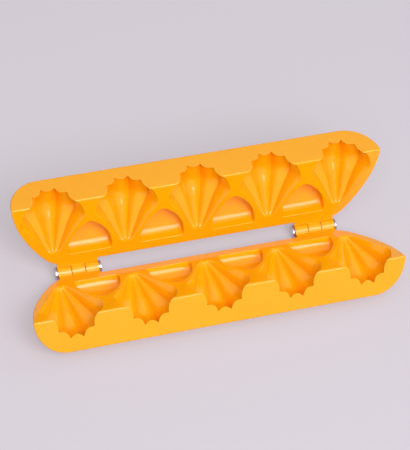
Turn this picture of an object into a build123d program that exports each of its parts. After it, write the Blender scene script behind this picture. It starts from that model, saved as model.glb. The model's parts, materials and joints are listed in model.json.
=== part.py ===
"""Five-cavity modak mold: two plastic halves that close like a book on two pin hinges. Sizes in mm.

Each half is drawn closed, with the hinge axis on X, its base towards -Y and its parting face on Z = 0,
and is then turned about the hinge axis to where it lies when the mold stands open.
"Reach" is a distance from the hinge axis towards the base, and "height" one from the base back towards it.
"""
import os
from math import cos, pi, radians, sin, sqrt, tan

from build123d import *

# Modak cavities, in a row along X, open at the base
CAVITY_COUNT = 5
CAVITY_PITCH = 43.0
CAVITY_HEIGHT = 37.7
MOUTH_RADIUS = 14.5
BELLY_RADIUS = 18.4
BELLY_HEIGHT = 11.8
TIP_RADIUS = 1.7

# Flare of the mouth per mm of height, and where the swell to the belly is drawn, as shares of its height
MOUTH_FLARE = 1.3
SWELL_STEPS = (0, 0.12, 0.3, 0.62, 1)

# Bumps around half a cavity: how near each comes to the middle, as a share of its crests' radius
PLEAT_SHARES = (0.88, 0.81, 0.79, 0.81, 0.88)
PLEAT_SHARPNESS = 1.7
MOUTH_WIDTH_SHARE = 0.88

# Crest radius above the belly, as shares of the rise from belly to tip and of the belly's radius
TAPER = ((0.14, 0.91), (0.28, 0.755), (0.42, 0.63), (0.57, 0.515), (0.71, 0.41), (0.85, 0.295), (0.95, 0.2))

# Body of one half
BASE_REACH = 53.6
HINGE_EDGE_REACH = 6.7
HINGE_EDGE_DEPTH = 3.4
HALF_DEPTH = 22.6
BACK_FLAT = 7.9
END_REACH = 23.9
END_LEAN = 3.6
END_TAPER = 19.6
END_CORNER = 2.5
END_ROUND = 19.2
FACE_CLEARANCE = 0.1
EDGE_ROUND = 1.0

# Arched pockets that core out the plastic between the cavities
POCKET_REACH = 13.2
POCKET_TOP_REACH = 36.6
POCKET_WIDTH = 26.0
POCKET_SIDE = 2.5
POCKET_TIP_ROUND = 4.0
POCKET_DEPTH = 5.4
POCKET_DRAFT = 14.0
POCKET_SLOPE = 23.0
POCKET_HINGE_ROUND = 6.5
POCKET_FLOOR_ROUND = 1.6
POCKET_RIM_ROUND = 0.4

# Hinges: three knuckles each, the middle one on the upper half, set in from the ends of the halves
HINGE_INSET = 37.9
KNUCKLE_WIDTH = 7.65
KNUCKLE_GAP = 0.5
BARREL_RADIUS = 4.3
LUG_THICKNESS = 3.8
LUG_ROOT = 3.0
NOTCH_CLEARANCE = 0.4
PIN_RADIUS = 1.75
PIN_RUNNING_CLEARANCE = 0.08

# Domed caps on the pins' ends
CAP_RADIUS = 3.9
CAP_COLLAR_RADIUS = 2.9
CAP_COLLAR = 0.5
CAP_RIM = 0.9
CAP_DOME = 0.9
CAP_SKIN = 0.8

# Opening between the parting faces, and what the tools that cut a solid stand proud of it
OPENING = 73.1
OVERCUT = 1.0

CAVITY_CENTRES = [(i - (CAVITY_COUNT - 1) / 2) * CAVITY_PITCH for i in range(CAVITY_COUNT)]
POCKET_CENTRES = [(a + b) / 2 for a, b in zip(CAVITY_CENTRES, CAVITY_CENTRES[1:])]
HALF_LENGTH = CAVITY_CENTRES[-1] + END_REACH
HINGE_CENTRES = (HINGE_INSET - HALF_LENGTH, HALF_LENGTH - HINGE_INSET)
BACK_FLAT_REACH = BASE_REACH - BACK_FLAT
KNUCKLE_STEP = KNUCKLE_WIDTH + KNUCKLE_GAP
BARREL_END = KNUCKLE_STEP + KNUCKLE_WIDTH / 2
CAP_LENGTH = CAP_COLLAR + CAP_RIM + CAP_DOME


def back_depth(reach):
    """Depth of the back behind the parting plane: a parabola that levels out before the base."""
    left = max(BACK_FLAT_REACH - reach, 0) / (BACK_FLAT_REACH - HINGE_EDGE_REACH)
    return HALF_DEPTH - (HALF_DEPTH - HINGE_EDGE_DEPTH) * left ** 2


def end_position(reach):
    """Distance from the middle of the mold to the end of the parting face, with a rounded hinge corner."""
    left = (BASE_REACH - reach) / (BASE_REACH - HINGE_EDGE_REACH)
    return HALF_LENGTH - END_LEAN * left - END_TAPER * left ** 2 - END_CORNER * left ** 30


def across(reach):
    """Plane across the reach, facing the base, whose y axis is +Z."""
    return Plane(origin=(0, -reach, 0), x_dir=(1, 0, 0), z_dir=(0, -1, 0))


def body_section(reach):
    """Section of the body: straight at the parting face and the back, with elliptic ends."""
    top, bottom = -FACE_CLEARANCE, -back_depth(reach)
    end = end_position(reach)
    flat = end - END_ROUND * -bottom / HALF_DEPTH
    outline = [
        Line((-end, top), (end, top)),
        EllipticalCenterArc((flat, top), end - flat, top - bottom, start_angle=270, arc_size=90),
        Line((flat, bottom), (-flat, bottom)),
        EllipticalCenterArc((-flat, top), end - flat, top - bottom, start_angle=180, arc_size=90),
    ]
    return across(reach) * make_face(Wire(outline))


def make_body():
    """Solid half before anything is cut from it, with its sections closest where it turns fastest."""
    shares = (0, 0.03, 0.07, 0.13, 0.22, 0.35, 0.5, 0.67, 0.84, 1)
    reaches = [HINGE_EDGE_REACH + share * (BACK_FLAT_REACH - HINGE_EDGE_REACH) for share in shares]
    reaches += [BASE_REACH - BACK_FLAT / 2, BASE_REACH]
    body = loft([body_section(reach) for reach in reaches])
    rims = body.edges().group_by(Axis.Y)
    return fillet(rims[0] + rims[-1] + body.faces().sort_by(Axis.Z)[-1].edges(), EDGE_ROUND)


def cavity_stations():
    """Pairs of height above the base and crest radius: flared mouth, elliptic swell to the belly, and taper."""
    stations = [(-OVERCUT, MOUTH_RADIUS - MOUTH_FLARE * OVERCUT)]
    for share in SWELL_STEPS:
        swell = sqrt(1 - (1 - share) ** 2)
        stations.append((BELLY_HEIGHT * share, MOUTH_RADIUS + (BELLY_RADIUS - MOUTH_RADIUS) * swell))
    rise = CAVITY_HEIGHT - BELLY_HEIGHT
    stations += [(BELLY_HEIGHT + rise * up, BELLY_RADIUS * out) for up, out in TAPER]
    return stations + [(CAVITY_HEIGHT, TIP_RADIUS)]


def pleated_section(height, radius):
    """Half of a pleated round, a little narrower at the mouth: bumps inwards between sharp crests."""
    width = 1 - (1 - MOUTH_WIDTH_SHARE) * max(1 - height / BELLY_HEIGHT, 0) ** 2

    def place(share, steps):
        a = -steps * pi / len(PLEAT_SHARES)
        return Vector(radius * share * width * cos(a), radius * share * sin(a))

    bumps = [
        pleat_bump(place(1, i), place(share, i + 0.5), place(1, i + 1))
        for i, share in enumerate(PLEAT_SHARES)
    ]
    side = radius * width
    lid = Polyline((-side, 0), (-side, OVERCUT), (side, OVERCUT), (side, 0))
    return across(BASE_REACH - height) * make_face(Wire(bumps + lid.edges()))


def pleat_bump(start, top, end):
    """Curve between two crests with a blunt point at its top."""
    control = top + (top - (start + end) / 2) / PLEAT_SHARPNESS
    return Bezier(start, control, end, weights=[1, PLEAT_SHARPNESS, 1])


def make_cavity():
    """Half a modak, with the space above the parting face."""
    return loft([pleated_section(height, radius) for height, radius in cavity_stations()])


def make_pocket():
    """Pocket between two cavities: a pointed arch with a sloping floor."""
    pocket = pocket_shaft() & pocket_space()
    walls = ShapeList(face for face in pocket.faces() if abs(face.normal_at().Z) < 0.1)
    floor = ShapeList(face for face in pocket.faces() if face.normal_at().Z < -0.1)
    return fillet(set(walls.edges()) & set(floor.edges()), POCKET_FLOOR_ROUND)


def pocket_shaft():
    """The pocket seen square to the parting face, right through the half."""
    side = POCKET_WIDTH / 2
    start, spring, top = OVERCUT - POCKET_REACH, -POCKET_REACH - POCKET_SIDE, -POCKET_TOP_REACH
    arch_radius = (side ** 2 + (spring - top) ** 2) / (2 * side)
    arch = make_face(Wire([
        Line((-side, start), (side, start)),
        Line((side, start), (side, spring)),
        RadiusArc((side, spring), (0, top), arch_radius),
        RadiusArc((0, top), (-side, spring), arch_radius),
        Line((-side, spring), (-side, start)),
    ]))
    arch = fillet(arch.vertices().sort_by(Axis.Y)[0], POCKET_TIP_ROUND)
    return extrude(Pos(Z=OVERCUT) * arch, HALF_DEPTH + OVERCUT, dir=(0, 0, -1))


def pocket_space():
    """The space above the pocket's floor, which slopes down from a broad curve below a leaning wall."""
    lean, slope = tan(radians(POCKET_DRAFT)), tan(radians(POCKET_SLOPE))
    start, end = -POCKET_REACH - POCKET_DEPTH * lean, -POCKET_TOP_REACH - OVERCUT
    profile = make_face(Polyline(
        (OVERCUT * lean - POCKET_REACH, OVERCUT), (start, -POCKET_DEPTH),
        (end, -POCKET_DEPTH + (end - start) * slope), (end, OVERCUT), close=True))
    profile = fillet(profile.vertices().sort_by_distance((start, -POCKET_DEPTH))[0], POCKET_HINGE_ROUND)
    width = POCKET_WIDTH + 2 * OVERCUT
    return extrude(Pos(X=-width / 2) * (Plane.YZ * profile), width)


def make_hinge_side(own_steps, bore_radius):
    """Lug and knuckles of one half at one hinge, with the hinge's middle at X = 0."""
    notch = BARREL_RADIUS + NOTCH_CLEARANCE
    root = HINGE_EDGE_REACH + LUG_ROOT
    side = slab(BARREL_END, notch, root)
    for step in own_steps:
        across_axis = Plane(origin=(step * KNUCKLE_STEP, 0, 0), z_dir=(1, 0, 0))
        knuckle = across_axis * Cylinder(BARREL_RADIUS, KNUCKLE_WIDTH)
        side += Pos(step * KNUCKLE_STEP, 0, 0) * slab(KNUCKLE_WIDTH / 2, 0, root) + knuckle
    return side - Plane.YZ * Cylinder(bore_radius, 2 * BARREL_END + OVERCUT)


def slab(half_width, start, end):
    """Part of a lug between two reaches, behind the parting face."""
    return Pos(0, -(start + end) / 2, -FACE_CLEARANCE) * Box(
        2 * half_width, end - start, LUG_THICKNESS, align=(Align.CENTER, Align.CENTER, Align.MAX))


def make_moulding(body):
    """Body of a half with all its cavities, and its pockets with softened rims."""
    cavity, pocket = make_cavity(), make_pocket()
    cored = body - [Pos(X=x) * pocket for x in POCKET_CENTRES]
    rims = ShapeList(edge for rim in cored.faces().sort_by(Axis.Z)[-1].inner_wires() for edge in rim.edges())
    return fillet(rims, POCKET_RIM_ROUND) - [Pos(X=x) * cavity for x in CAVITY_CENTRES]


def add_hinge_sides(moulding, own_steps, bore_radius):
    """A half with its lugs and knuckles, closed, with its parting face up."""
    hinge_side = make_hinge_side(own_steps, bore_radius)
    return moulding + [Pos(X=x) * hinge_side for x in HINGE_CENTRES]


def make_pin():
    """Steel pin through a barrel and into both caps."""
    return Plane.YZ * Cylinder(PIN_RADIUS, 2 * (BARREL_END + CAP_LENGTH - CAP_SKIN))


def make_cap():
    """Domed push-on cap for the +X end of a pin, whose collar meets the barrel at X = 0."""
    rim = CAP_COLLAR + CAP_RIM
    profile = make_face(Wire([
        Line((0, PIN_RADIUS), (0, CAP_COLLAR_RADIUS)),
        Line((0, CAP_COLLAR_RADIUS), (CAP_COLLAR, CAP_COLLAR_RADIUS)),
        Line((CAP_COLLAR, CAP_COLLAR_RADIUS), (CAP_COLLAR, CAP_RADIUS)),
        Line((CAP_COLLAR, CAP_RADIUS), (rim, CAP_RADIUS)),
        EllipticalCenterArc((rim, 0), CAP_DOME, CAP_RADIUS, start_angle=0, arc_size=90),
        Line((CAP_LENGTH, 0), (CAP_LENGTH - CAP_SKIN, 0)),
        Line((CAP_LENGTH - CAP_SKIN, 0), (CAP_LENGTH - CAP_SKIN, PIN_RADIUS)),
        Line((CAP_LENGTH - CAP_SKIN, PIN_RADIUS), (0, PIN_RADIUS)),
    ]))
    return revolve(profile, Axis.X)


def rest_tilt(body):
    """Angle at which the lower half's back and its barrels touch the same level surface."""
    profile = section(body, section_by=Plane.YZ)
    low, high = 0.0, 60.0
    while high - low > 1e-3:
        tilt = (low + high) / 2
        sunk = (Rot(X=-tilt) * profile).bounding_box().min.Z < -BARREL_RADIUS
        low, high = (tilt, high) if sunk else (low, tilt)
    return high


def make_nodes():
    """All the pieces by name, where they lie when the mold stands open."""
    body = make_body()
    moulding = make_moulding(body)
    lower_half = add_hinge_sides(moulding, (-1, 1), PIN_RADIUS)
    upper_half = mirror(add_hinge_sides(moulding, (0,), PIN_RADIUS + PIN_RUNNING_CLEARANCE), about=Plane.XY)
    tilt = rest_tilt(body)
    lower = Rot(X=-tilt)
    nodes = {"lower_half": lower * lower_half, "upper_half": Rot(X=-tilt - OPENING) * upper_half}
    pin, cap = make_pin(), make_cap()
    for name, outwards, x in zip(("left", "right"), (-1, 1), HINGE_CENTRES):
        middle = Pos(X=x)
        nodes[f"{name}_hinge_pin"] = middle * pin
        for end, way in (("outer", outwards), ("inner", -outwards)):
            turn = Rot(Z=0 if way > 0 else 180)
            nodes[f"{name}_{end}_pin_cap"] = middle * Pos(X=way * BARREL_END) * turn * cap
    boxes = [piece.bounding_box() for piece in nodes.values()]
    front, back = min(box.min.Y for box in boxes), max(box.max.Y for box in boxes)
    origin = Pos(Y=-(front + back) / 2, Z=-min(box.min.Z for box in boxes))
    axis = origin.position
    print(f"lower half tilted {tilt:.3f} degrees, hinge axis at y {axis.Y:.4f}, z {axis.Z:.4f}")
    return {name: origin * node for name, node in nodes.items()}


if __name__ == "__main__":
    os.makedirs("parts", exist_ok=True)
    for node_name, piece in make_nodes().items():
        piece.label = node_name
        export_step(piece, f"parts/{node_name}.step")
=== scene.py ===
"""Dresses the open five-cavity modak mold and sets it under a soft studio light.

The mold is two glossy moulded halves that turn on two pin hinges. The halves and the pins come from the
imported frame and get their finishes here. The pins' domed caps are turned here in finer detail, in place of
the frame's. Lengths in the classes of the finishes and of the mold are in millimetres. Those of the lamps,
the floor and the camera are in metres, as all meshes are.
"""

from __future__ import annotations

import json
import logging
import math
from dataclasses import dataclass, field
from enum import Enum
from typing import Any, Protocol

import bmesh
import bpy
from mathutils import Matrix, Vector

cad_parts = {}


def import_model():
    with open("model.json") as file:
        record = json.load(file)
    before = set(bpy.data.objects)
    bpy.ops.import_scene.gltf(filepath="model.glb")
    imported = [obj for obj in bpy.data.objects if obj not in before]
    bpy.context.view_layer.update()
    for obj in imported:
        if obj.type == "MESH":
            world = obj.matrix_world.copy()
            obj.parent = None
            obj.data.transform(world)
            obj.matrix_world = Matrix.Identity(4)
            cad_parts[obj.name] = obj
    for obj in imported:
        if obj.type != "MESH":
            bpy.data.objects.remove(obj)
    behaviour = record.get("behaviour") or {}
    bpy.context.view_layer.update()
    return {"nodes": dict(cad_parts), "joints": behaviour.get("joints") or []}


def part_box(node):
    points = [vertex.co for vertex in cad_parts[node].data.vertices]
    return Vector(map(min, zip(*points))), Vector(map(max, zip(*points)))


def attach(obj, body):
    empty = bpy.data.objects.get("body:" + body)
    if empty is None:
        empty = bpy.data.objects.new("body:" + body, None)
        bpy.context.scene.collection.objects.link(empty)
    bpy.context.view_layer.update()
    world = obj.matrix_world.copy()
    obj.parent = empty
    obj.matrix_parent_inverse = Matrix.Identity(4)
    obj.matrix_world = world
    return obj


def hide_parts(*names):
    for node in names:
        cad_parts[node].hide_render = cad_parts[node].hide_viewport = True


LOG = logging.getLogger("modak_mold")
MM = 0.001

Point = tuple[float, float, float]


class Body(Enum):
    """Which of the mold's two turning sides a piece moves with."""

    LOWER = "lower_side"
    UPPER = "upper_side"


class End(Enum):
    """Which end of a hinge pin a cap sits on, seen from the middle of the mold."""

    OUTER = "outer"
    INNER = "inner"


def linear(hex_colour: str) -> tuple[float, float, float, float]:
    """Turns an sRGB hex colour into Blender's linear colour.

    Args:
        hex_colour: Six hex digits after a hash sign.

    Returns:
        Red, green, blue and an alpha of 1.
    """
    channels = [int(hex_colour[i : i + 2], 16) / 255 for i in (1, 3, 5)]
    red, green, blue = (c / 12.92 if c <= 0.04045 else ((c + 0.055) / 1.055) ** 2.4 for c in channels)
    return (red, green, blue, 1.0)


def add_node(
    tree: bpy.types.NodeTree, kind: str, settings: dict[str, Any] | None = None, **inputs: Any
) -> bpy.types.Node:
    """Adds a node with its settings, values and links.

    Args:
        tree: The node tree that gets the node.
        kind: Blender's name of the node's type.
        settings: Values of the node's own properties.
        **inputs: Socket names, with underscores for spaces, or a socket's number after an underscore, and
            the value or output socket for each.

    Returns:
        The new node.
    """
    node = tree.nodes.new(kind)
    for name, value in (settings or {}).items():
        setattr(node, name, value)
    for name, value in inputs.items():
        socket = node.inputs[int(name[1:]) if name[1:].isdigit() else name.replace("_", " ")]
        if isinstance(value, bpy.types.NodeSocket):
            tree.links.new(value, socket)
        else:
            socket.default_value = value
    return node


def new_material(name: str) -> tuple[bpy.types.Material, bpy.types.NodeTree]:
    """Makes an empty node material.

    Args:
        name: The material's name.

    Returns:
        The material and its node tree.
    """
    material = bpy.data.materials.new(name)
    material.use_nodes = True
    material.node_tree.nodes.clear()
    return material, material.node_tree


def seen_share(tree: bpy.types.NodeTree, share: float) -> bpy.types.NodeSocket:
    """Tells the rays that show a background, straight or in a gloss, from those that light things.

    Args:
        tree: The node tree of a material or a world.
        share: What the rays that show it get.

    Returns:
        The share for those rays, and 0 for all others.
    """
    path = add_node(tree, "ShaderNodeLightPath").outputs
    gloss = add_node(
        tree,
        "ShaderNodeMath",
        {"operation": "MAXIMUM"},
        _0=path["Is Glossy Ray"],
        _1=path["Is Transmission Ray"],
    ).outputs["Value"]
    seen = add_node(
        tree, "ShaderNodeMath", {"operation": "MAXIMUM"}, _0=path["Is Camera Ray"], _1=gloss
    ).outputs["Value"]
    return add_node(
        tree, "ShaderNodeMath", {"operation": "MULTIPLY"}, _0=seen, _1=share
    ).outputs["Value"]


class Finish(Protocol):
    """What every finish has: a name, and a way to make its material."""

    name: str

    def build(self) -> bpy.types.Material:
        """Makes the material."""


@dataclass(frozen=True)
class MouldedPolypropylene:
    """Polypropylene, injection moulded in a polished steel tool.

    To the eye it is a clean golden yellow with sharp, pale reflections of the lamps. Light goes a little way
    in, so that the thin pleats glow orange. The melt's flow leaves broad, faint clouds in the colour, the
    tool leaves a fine orange peel, and handling leaves dull hairlines and dull edges. The edges are also
    painted slightly paler: partly wear from rubbing, and partly a painted highlight where their rounding
    catches the light.
    """

    name: str = "polypropylene_gloss_moulded"
    colour: str = "#FFB105"
    # Slightly paler yellow of the edges: partly wear from rubbing, partly a painted highlight along the
    # rounded edges.
    cloud_colour: str = "#FFA902"
    rubbed_and_highlit_colour: str = "#FFC234"
    cloud_size: float = 42.0
    roughness: float = 0.09
    dulled_roughness: float = 0.2
    handling_size: float = 14.0
    # The noise's values where a handled patch starts and is full, and how dull it gets.
    handling_start: float = 0.5
    handling_full: float = 0.75
    handling_share: float = 0.5
    # A real hairline is some 0.05 mm wide. It is drawn 0.5 mm wide, so that it shows at this distance.
    hairline_width: float = 0.5
    hairline_length: float = 14.0
    hairline_depth: float = 0.008
    # Turn of the hairlines off the mold's length, in radians, and the noise's values that make them sparse.
    hairline_turn: Point = (0.0, 0.3, 0.25)
    hairline_start: float = 0.7
    hairline_full: float = 0.78
    orange_peel_size: float = 1.8
    orange_peel_depth: float = 0.01
    edge_round: float = 0.35
    edge_samples: int = 6
    # Likeness of the real normal to a rounded one where the paler, duller edge starts and is full, and how
    # pale it gets.
    # The paleness is partly wear from rubbing and partly a painted highlight.
    rub_and_highlight_start: float = 0.99
    rub_and_highlight_full: float = 0.8
    rub_and_highlight_share: float = 0.55
    ior: float = 1.49
    translucency: float = 0.1
    translucency_depth: float = 1.5
    # Red light goes further into the plastic than green, and blue goes least.
    translucency_reach: Point = (1.0, 0.5, 0.1)

    def build(self) -> bpy.types.Material:
        """Makes the material.

        Returns:
            The plastic.
        """
        material, tree = new_material(self.name)
        place = add_node(tree, "ShaderNodeTexCoord").outputs["Object"]
        # The edge mask dulls the edges, as wear does, and paints them paler, partly as wear and partly as a
        # painted highlight.
        rubbed_and_highlit = self.edges(tree)
        hairlines = self.hairlines(tree, place)
        shader = add_node(
            tree,
            "ShaderNodeBsdfPrincipled",
            Base_Color=self.coloured(tree, place, rubbed_and_highlit),
            Roughness=self.gloss(tree, place, hairlines, rubbed_and_highlit),
            IOR=self.ior,
            Subsurface_Weight=self.translucency,
            Subsurface_Radius=self.translucency_reach,
            Subsurface_Scale=self.translucency_depth * MM,
            Normal=self.relief(tree, place, hairlines),
        )
        add_node(tree, "ShaderNodeOutputMaterial", Surface=shader.outputs["BSDF"])
        return material

    def edges(self, tree: bpy.types.NodeTree) -> bpy.types.NodeSocket:
        """Finds the edges, by how far a slightly rounded surface would face from the real one.

        Args:
            tree: The material's node tree.

        Returns:
            How much of an edge a point is, from 0 to 1.
        """
        rounded = add_node(
            tree, "ShaderNodeBevel", {"samples": self.edge_samples}, Radius=self.edge_round * MM
        ).outputs["Normal"]
        real = add_node(tree, "ShaderNodeNewGeometry").outputs["Normal"]
        likeness = add_node(
            tree, "ShaderNodeVectorMath", {"operation": "DOT_PRODUCT"}, _0=rounded, _1=real
        ).outputs["Value"]
        return add_node(
            tree, "ShaderNodeMapRange", Value=likeness, From_Min=self.rub_and_highlight_start, From_Max=self.rub_and_highlight_full
        ).outputs["Result"]

    def hairlines(self, tree: bpy.types.NodeTree, place: bpy.types.NodeSocket) -> bpy.types.NodeSocket:
        """Draws sparse scratches that run mostly along the mold, as wiping it leaves them.

        Args:
            tree: The material's node tree.
            place: The point's place on the mold.

        Returns:
            How much of a scratch a point is, from 0 to 1.
        """
        turned = add_node(
            tree,
            "ShaderNodeMapping",
            Vector=place,
            Rotation=self.hairline_turn,
            Scale=(self.hairline_width / self.hairline_length, 1.0, 1.0),
        )
        streaks = add_node(
            tree,
            "ShaderNodeTexNoise",
            Vector=turned.outputs["Vector"],
            Scale=1 / (self.hairline_width * 2 * MM),
            Detail=1.0,
        )
        return add_node(
            tree,
            "ShaderNodeMapRange",
            Value=streaks.outputs["Fac"],
            From_Min=self.hairline_start,
            From_Max=self.hairline_full,
        ).outputs["Result"]

    def coloured(
        self, tree: bpy.types.NodeTree, place: bpy.types.NodeSocket, rubbed_and_highlit: bpy.types.NodeSocket
    ) -> bpy.types.NodeSocket:
        """Mixes the two clouded yellows, and the paler one of the edges, which is partly wear and partly a
        painted highlight.

        Args:
            tree: The material's node tree.
            place: The point's place on the mold.
            rubbed_and_highlit: How much of an edge the point is.

        Returns:
            The colour.
        """
        clouds = add_node(
            tree, "ShaderNodeTexNoise", Vector=place, Scale=1 / (self.cloud_size * MM), Detail=2.0
        )
        melt = add_node(
            tree,
            "ShaderNodeMix",
            {"data_type": "RGBA"},
            _0=clouds.outputs["Fac"],
            _6=linear(self.colour),
            _7=linear(self.cloud_colour),
        )
        # Painted highlight along the edges, mixed with the paleness of wear from rubbing.
        share = add_node(tree, "ShaderNodeMath", {"operation": "MULTIPLY"}, _0=rubbed_and_highlit, _1=self.rub_and_highlight_share)
        worn_and_highlit = add_node(
            tree,
            "ShaderNodeMix",
            {"data_type": "RGBA"},
            _0=share.outputs["Value"],
            _6=melt.outputs[2],
            _7=linear(self.rubbed_and_highlit_colour),
        )
        return worn_and_highlit.outputs[2]

    def gloss(
        self,
        tree: bpy.types.NodeTree,
        place: bpy.types.NodeSocket,
        hairlines: bpy.types.NodeSocket,
        rubbed_and_highlit: bpy.types.NodeSocket,
    ) -> bpy.types.NodeSocket:
        """Works out the roughness: polished, and duller where it is handled, scratched or dulled at the
        edges by rubbing.

        Args:
            tree: The material's node tree.
            place: The point's place on the mold.
            hairlines: How much of a scratch the point is.
            rubbed_and_highlit: How much of an edge the point is.

        Returns:
            The roughness.
        """
        patches = add_node(
            tree, "ShaderNodeTexNoise", Vector=place, Scale=1 / (self.handling_size * MM), Detail=4.0
        )
        handled = add_node(
            tree,
            "ShaderNodeMapRange",
            Value=patches.outputs["Fac"],
            From_Min=self.handling_start,
            From_Max=self.handling_full,
            To_Max=self.handling_share,
        )
        marks = add_node(tree, "ShaderNodeMath", {"operation": "MAXIMUM"}, _0=hairlines, _1=rubbed_and_highlit)
        dulled = add_node(
            tree,
            "ShaderNodeMath",
            {"operation": "MAXIMUM"},
            _0=marks.outputs["Value"],
            _1=handled.outputs["Result"],
        )
        return add_node(
            tree,
            "ShaderNodeMapRange",
            Value=dulled.outputs["Value"],
            To_Min=self.roughness,
            To_Max=self.dulled_roughness,
        ).outputs["Result"]

    def relief(
        self,
        tree: bpy.types.NodeTree,
        place: bpy.types.NodeSocket,
        hairlines: bpy.types.NodeSocket,
    ) -> bpy.types.NodeSocket:
        """Shapes the orange peel and the scratches.

        Args:
            tree: The material's node tree.
            place: The point's place on the mold.
            hairlines: How much of a scratch the point is.

        Returns:
            The normal.
        """
        peel = add_node(
            tree, "ShaderNodeTexNoise", Vector=place, Scale=1 / (self.orange_peel_size * MM), Detail=1.0
        )
        swell = add_node(
            tree,
            "ShaderNodeBump",
            Height=peel.outputs["Fac"],
            Distance=self.orange_peel_depth * MM,
        )
        return add_node(
            tree,
            "ShaderNodeBump",
            {"invert": True},
            Height=hairlines,
            Distance=self.hairline_depth * MM,
            Normal=swell.outputs["Normal"],
        ).outputs["Normal"]


@dataclass(frozen=True)
class ChromePlatedSteel:
    """Steel pressing with bright nickel and chrome plating.

    To the eye it is a near mirror with a cool tint, slightly uneven, and duller in small patches of haze.
    """

    name: str = "steel_chrome_plated"
    colour: str = "#DCDDE2"
    hazed_colour: str = "#C9CBD2"
    roughness: float = 0.09
    hazed_roughness: float = 0.22
    haze_size: float = 1.6
    # The noise's values where the haze starts and is full.
    haze_start: float = 0.4
    haze_full: float = 0.75
    ripple_size: float = 1.1
    ripple_depth: float = 0.006

    def build(self) -> bpy.types.Material:
        """Makes the material.

        Returns:
            The plating.
        """
        material, tree = new_material(self.name)
        place = add_node(tree, "ShaderNodeTexCoord").outputs["Object"]
        haze = add_node(
            tree, "ShaderNodeTexNoise", Vector=place, Scale=1 / (self.haze_size * MM), Detail=3.0
        )
        tint = add_node(
            tree,
            "ShaderNodeMix",
            {"data_type": "RGBA"},
            _0=haze.outputs["Fac"],
            _6=linear(self.colour),
            _7=linear(self.hazed_colour),
        )
        gloss = add_node(
            tree,
            "ShaderNodeMapRange",
            Value=haze.outputs["Fac"],
            From_Min=self.haze_start,
            From_Max=self.haze_full,
            To_Min=self.roughness,
            To_Max=self.hazed_roughness,
        )
        ripple = add_node(
            tree, "ShaderNodeTexNoise", Vector=place, Scale=1 / (self.ripple_size * MM), Detail=0.0
        )
        bump = add_node(
            tree, "ShaderNodeBump", Height=ripple.outputs["Fac"], Distance=self.ripple_depth * MM
        )
        shader = add_node(
            tree,
            "ShaderNodeBsdfPrincipled",
            Base_Color=tint.outputs[2],
            Metallic=1.0,
            Roughness=gloss.outputs["Result"],
            Normal=bump.outputs["Normal"],
        )
        add_node(tree, "ShaderNodeOutputMaterial", Surface=shader.outputs["BSDF"])
        return material


@dataclass(frozen=True)
class BrightDrawnSteel:
    """Steel wire, bright drawn through a die.

    To the eye it is a soft grey shine, stretched across fine lines that run along the wire.
    """

    name: str = "steel_wire_bright_drawn"
    colour: str = "#A9A9A6"
    shade_colour: str = "#8F8F8D"
    roughness: float = 0.28
    line_roughness: float = 0.42
    # Real draw lines are about 0.03 mm apart. They are drawn 0.25 mm apart, so that they show.
    line_width: float = 0.25
    line_depth: float = 0.01
    # A line is as wide as this share of its length.
    line_narrowness: float = 0.02

    def build(self) -> bpy.types.Material:
        """Makes the material.

        Returns:
            The steel.
        """
        material, tree = new_material(self.name)
        place = add_node(tree, "ShaderNodeTexCoord").outputs["Object"]
        along = add_node(
            tree, "ShaderNodeMapping", Vector=place, Scale=(self.line_narrowness, 1.0, 1.0)
        ).outputs["Vector"]
        lines = add_node(
            tree, "ShaderNodeTexNoise", Vector=along, Scale=1 / (self.line_width * MM), Detail=2.0
        ).outputs["Fac"]
        tint = add_node(
            tree,
            "ShaderNodeMix",
            {"data_type": "RGBA"},
            _0=lines,
            _6=linear(self.colour),
            _7=linear(self.shade_colour),
        )
        gloss = add_node(
            tree, "ShaderNodeMapRange", Value=lines, To_Min=self.roughness, To_Max=self.line_roughness
        )
        bump = add_node(tree, "ShaderNodeBump", Height=lines, Distance=self.line_depth * MM)
        shader = add_node(
            tree,
            "ShaderNodeBsdfPrincipled",
            Base_Color=tint.outputs[2],
            Metallic=1.0,
            Roughness=gloss.outputs["Result"],
            Normal=bump.outputs["Normal"],
        )
        add_node(tree, "ShaderNodeOutputMaterial", Surface=shader.outputs["BSDF"])
        return material


@dataclass(frozen=True)
class MattPaper:
    """Studio background paper: plain, pale and without any shine, with its shadows half lifted."""

    name: str = "paper_matt"
    colour: str = "#D0CAD2"
    lifted_colour: str = "#D8D1D9"
    lift: float = 0.5

    def build(self) -> bpy.types.Material:
        """Makes the material.

        Returns:
            The paper.
        """
        material, tree = new_material(self.name)
        paper = add_node(tree, "ShaderNodeBsdfDiffuse", Color=linear(self.colour))
        lifted = add_node(tree, "ShaderNodeEmission", Color=linear(self.lifted_colour))
        shader = add_node(
            tree,
            "ShaderNodeMixShader",
            _0=seen_share(tree, self.lift),
            _1=paper.outputs["BSDF"],
            _2=lifted.outputs["Emission"],
        )
        add_node(tree, "ShaderNodeOutputMaterial", Surface=shader.outputs["Shader"])
        return material


def dress(piece: bpy.types.Object, material: bpy.types.Material) -> None:
    """Gives every face of a piece one material.

    Args:
        piece: The piece's object.
        material: Its finish.
    """
    for slot in piece.material_slots:
        slot.material = material
    if not piece.material_slots:
        piece.data.materials.append(material)


@dataclass
class MouldHalf:
    """One moulded half, with its cavities, pockets and knuckles, as the frame has it."""

    node: str
    plastic: bpy.types.Material

    def build(self, nodes: dict[str, bpy.types.Object]) -> list[str]:
        """Dresses the half.

        Args:
            nodes: The frame's nodes by name.

        Returns:
            The names of the pieces.
        """
        dress(nodes[self.node], self.plastic)
        return [self.node]


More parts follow.
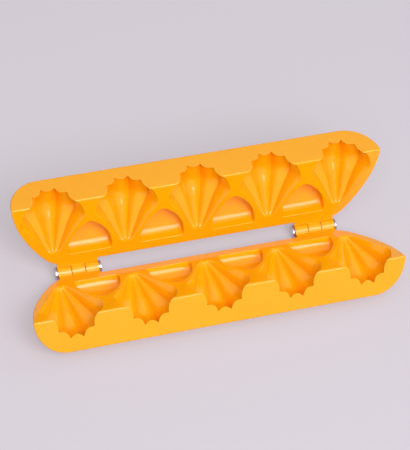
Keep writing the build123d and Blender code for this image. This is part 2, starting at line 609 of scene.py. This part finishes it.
@dataclass
class DomedCap:
    """Push-on cap of a hinge pin: a narrow collar, a rounded rim and a low dome."""

    name: str
    radius: float = 3.9
    collar_radius: float = 2.9
    collar_length: float = 0.5
    collar_chamfer: float = 0.1
    rim_round: float = 0.3
    shoulder: float = 1.4
    length: float = 2.3
    skin: float = 0.8
    bore_radius: float = 1.75
    spun_steps: int = 72
    rim_steps: int = 6
    dome_steps: int = 18
    # Edges that turn by more than this many degrees look sharp.
    sharp_angle: float = 40.0

    def profile(self) -> list[tuple[float, float]]:
        """Lists the cap's half section, from the bore at the barrel around to the bore's end.

        Returns:
            Distances from the barrel and from the pin's axis.
        """
        points = [
            (0.0, self.bore_radius),
            (0.0, self.collar_radius - self.collar_chamfer),
            (self.collar_chamfer, self.collar_radius),
            (self.collar_length, self.collar_radius),
        ]
        along, out = self.collar_length + self.rim_round, self.radius - self.rim_round
        for step in range(self.rim_steps + 1):
            a = math.radians(180 - 90 * step / self.rim_steps)
            points.append((along + self.rim_round * math.cos(a), out + self.rim_round * math.sin(a)))
        rise = self.length - self.shoulder
        for step in range(self.dome_steps):
            a = math.radians(90 - 90 * step / self.dome_steps)
            points.append((self.shoulder + rise * math.cos(a), self.radius * math.sin(a)))
        bore_end = self.length - self.skin
        return points + [(self.length, 0.0), (bore_end, 0.0), (bore_end, self.bore_radius)]

    def build(self, barrel_end: Vector, outwards: int, metal: bpy.types.Material) -> bpy.types.Object:
        """Turns the cap on a lathe.

        Args:
            barrel_end: Where the pin's axis leaves the barrel, in metres.
            outwards: 1 for a cap that faces +X, and -1 for one that faces -X.
            metal: Its finish.

        Returns:
            The cap.
        """
        mesh, shape = bpy.data.meshes.new(self.name), bmesh.new()
        rings = []
        for along, out in self.profile():
            steps = self.spun_steps if out > 0 else 1
            angles = [2 * math.pi * step / steps for step in range(steps)]
            points = [Vector((outwards * along, out * math.cos(a), out * math.sin(a))) * MM for a in angles]
            rings.append([shape.verts.new(point) for point in points])
        for ring, following in zip(rings, rings[1:] + rings[:1]):
            for step in range(self.spun_steps):
                corners = [ring[step % len(ring)], ring[(step + 1) % len(ring)]]
                corners += [following[(step + 1) % len(following)], following[step % len(following)]]
                corners = list(dict.fromkeys(corners))
                if len(corners) > 2:
                    shape.faces.new(corners)
        bmesh.ops.recalc_face_normals(shape, faces=shape.faces)
        shape.to_mesh(mesh)
        shape.free()
        mesh.shade_smooth()
        mesh.set_sharp_from_angle(angle=math.radians(self.sharp_angle))
        cap = bpy.data.objects.new(self.name, mesh)
        bpy.context.scene.collection.objects.link(cap)
        cap.location = barrel_end
        dress(cap, metal)
        return cap


@dataclass
class PinHinge:
    """Steel pin through three knuckles, with a domed cap on each end."""

    side: str
    plating: bpy.types.Material
    wire: bpy.types.Material
    body: Body = Body.LOWER
    cap_slot: str = "cap_chrome"

    def build(self, nodes: dict[str, bpy.types.Object]) -> list[str]:
        """Dresses the pin and turns its two caps.

        Args:
            nodes: The frame's nodes by name.

        Returns:
            The names of the pieces.
        """
        pin = f"{self.side}_hinge_pin"
        dress(nodes[pin], self.wire)
        low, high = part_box(pin)
        middle = (low + high) / 2
        return [pin] + [self.build_cap(end, middle) for end in End]

    def build_cap(self, end: End, middle: Vector) -> str:
        """Turns one cap in place of the frame's.

        Args:
            end: Which end of the pin it is on.
            middle: The middle of the pin.

        Returns:
            The cap's name.
        """
        node = f"{self.side}_{end.value}_pin_cap"
        low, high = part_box(node)
        outwards = 1 if low.x > middle.x else -1
        foot = Vector((low.x if outwards > 0 else high.x, middle.y, middle.z))
        cap = DomedCap(f"{self.side}_{end.value}_domed_cap").build(foot, outwards, self.plating)
        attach(cap, self.body.value)
        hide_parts(node)
        return cap.name


@dataclass
class SoftLamp:
    """Square soft lamp that points at the mold."""

    name: str
    place: Point
    size: float
    power: float
    aim: Point = (0.0, 0.0, 0.03)

    def build(self) -> None:
        """Hangs the lamp. Its places and sizes are in metres, and its power is in watts."""
        lamp = bpy.data.lights.new(self.name, "AREA")
        lamp.shape = "SQUARE"
        lamp.size = self.size
        lamp.energy = self.power
        holder = bpy.data.objects.new(self.name, lamp)
        bpy.context.scene.collection.objects.link(holder)
        holder.location = self.place
        holder.rotation_euler = (Vector(self.aim) - Vector(self.place)).to_track_quat("-Z", "Y").to_euler()


@dataclass
class Studio:
    """Pale seamless floor, soft lamps, and a room whose ceiling is lighter than its walls."""

    paper: bpy.types.Material
    floor_size: float = 6.0
    light_colour: str = "#F4F2F4"
    wall_strength: float = 0.2
    ceiling_strength: float = 0.85
    backdrop_colour: str = "#D9D3DB"
    lamps: list[SoftLamp] = field(
        default_factory=lambda: [
            SoftLamp("key_lamp", place=(0.345, -0.986, 1.006), size=0.74, power=8.8),
            SoftLamp("camera_lamp", place=(-0.22, -0.8, 1.2), size=1.0, power=9.3),
            SoftLamp("side_lamp", place=(1.25, 0.1, 0.9), size=0.8, power=1.5),
        ]
    )

    def build(self) -> None:
        """Makes the floor, the room's light and the lamps."""
        self.build_floor()
        self.build_room()
        for lamp in self.lamps:
            lamp.build()

    def build_floor(self) -> None:
        """Lays the sheet of studio paper under the mold."""
        half = self.floor_size / 2
        mesh = bpy.data.meshes.new("floor")
        corners = [(-half, -half, 0), (half, -half, 0), (half, half, 0), (-half, half, 0)]
        mesh.from_pydata(corners, [], [(0, 1, 2, 3)])
        floor = bpy.data.objects.new("floor", mesh)
        bpy.context.scene.collection.objects.link(floor)
        dress(floor, self.paper)

    def build_room(self) -> None:
        """Makes the light that comes from all around, and a plain pale backdrop that is seen behind."""
        world = bpy.data.worlds.new("studio_room")
        world.use_nodes = True
        tree = world.node_tree
        tree.nodes.clear()
        direction = add_node(tree, "ShaderNodeTexCoord").outputs["Generated"]
        upwards = add_node(tree, "ShaderNodeSeparateXYZ", Vector=direction).outputs["Z"]
        overhead = add_node(tree, "ShaderNodeMath", {"operation": "MULTIPLY"}, _0=upwards, _1=upwards)
        strength = add_node(
            tree,
            "ShaderNodeMapRange",
            Value=overhead.outputs["Value"],
            To_Min=self.wall_strength,
            To_Max=self.ceiling_strength,
        )
        room = add_node(
            tree,
            "ShaderNodeBackground",
            Color=linear(self.light_colour),
            Strength=strength.outputs["Result"],
        )
        backdrop = add_node(tree, "ShaderNodeBackground", Color=linear(self.backdrop_colour))
        light = add_node(
            tree,
            "ShaderNodeMixShader",
            _0=seen_share(tree, 1.0),
            _1=room.outputs["Background"],
            _2=backdrop.outputs["Background"],
        )
        add_node(tree, "ShaderNodeOutputWorld", Surface=light.outputs["Shader"])
        bpy.context.scene.world = world


@dataclass
class PhotoCamera:
    """The photograph's view, found by fitting a pinhole camera to the mold's outline.

    Lengths are in metres, angles in degrees, and the sensor's width is in Blender's millimetres.
    """

    azimuth: float = -22.36
    elevation: float = 51.15
    roll: float = 7.86
    distance: float = 1.2017
    focal_pixels: float = 2051.3
    photo_height: int = 450
    aim_right: float = 0.00471
    aim_up: float = 0.01395
    sensor: float = 36.0

    def build(self, pivot: Vector) -> None:
        """Places the camera.

        Args:
            pivot: The middle of the hinge axis.
        """
        azimuth, elevation, roll = (math.radians(a) for a in (self.azimuth, self.elevation, self.roll))
        level_share = math.cos(elevation)
        back = Vector(
            (math.sin(azimuth) * level_share, -math.cos(azimuth) * level_share, math.sin(elevation))
        )
        level = Vector((math.cos(azimuth), math.sin(azimuth), 0))
        above = back.cross(level)
        right = math.cos(roll) * level + math.sin(roll) * above
        up = back.cross(right)
        camera = bpy.data.objects.new("camera", bpy.data.cameras.new("camera"))
        bpy.context.scene.collection.objects.link(camera)
        place = pivot + self.distance * back + self.aim_right * right + self.aim_up * up
        turned = Matrix((right, up, back)).transposed().to_4x4()
        camera.matrix_world = Matrix.Translation(place) @ turned
        camera.data.sensor_width = self.sensor
        camera.data.lens = self.focal_pixels / self.photo_height * self.sensor
        bpy.context.scene.camera = camera


def main() -> None:
    """Builds the dressed mold, its studio and its camera."""
    logging.basicConfig(level=logging.INFO, format="%(message)s")
    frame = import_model()
    bpy.context.scene.view_settings.view_transform = "Standard"
    finishes: list[Finish] = [MouldedPolypropylene(), ChromePlatedSteel(), BrightDrawnSteel()]
    plastic, plating, wire = (finish.build() for finish in finishes)
    assemblies = [
        MouldHalf("lower_half", plastic),
        MouldHalf("upper_half", plastic),
        PinHinge("left", plating, wire),
        PinHinge("right", plating, wire),
    ]
    for assembly in assemblies:
        for piece in assembly.build(frame["nodes"]):
            LOG.info("%s: %s", type(assembly).__name__, piece)
    PhotoCamera().build(Vector(frame["joints"][0]["pos_m"]))
    Studio(MattPaper().build()).build()


if __name__ == "__main__":
    main()
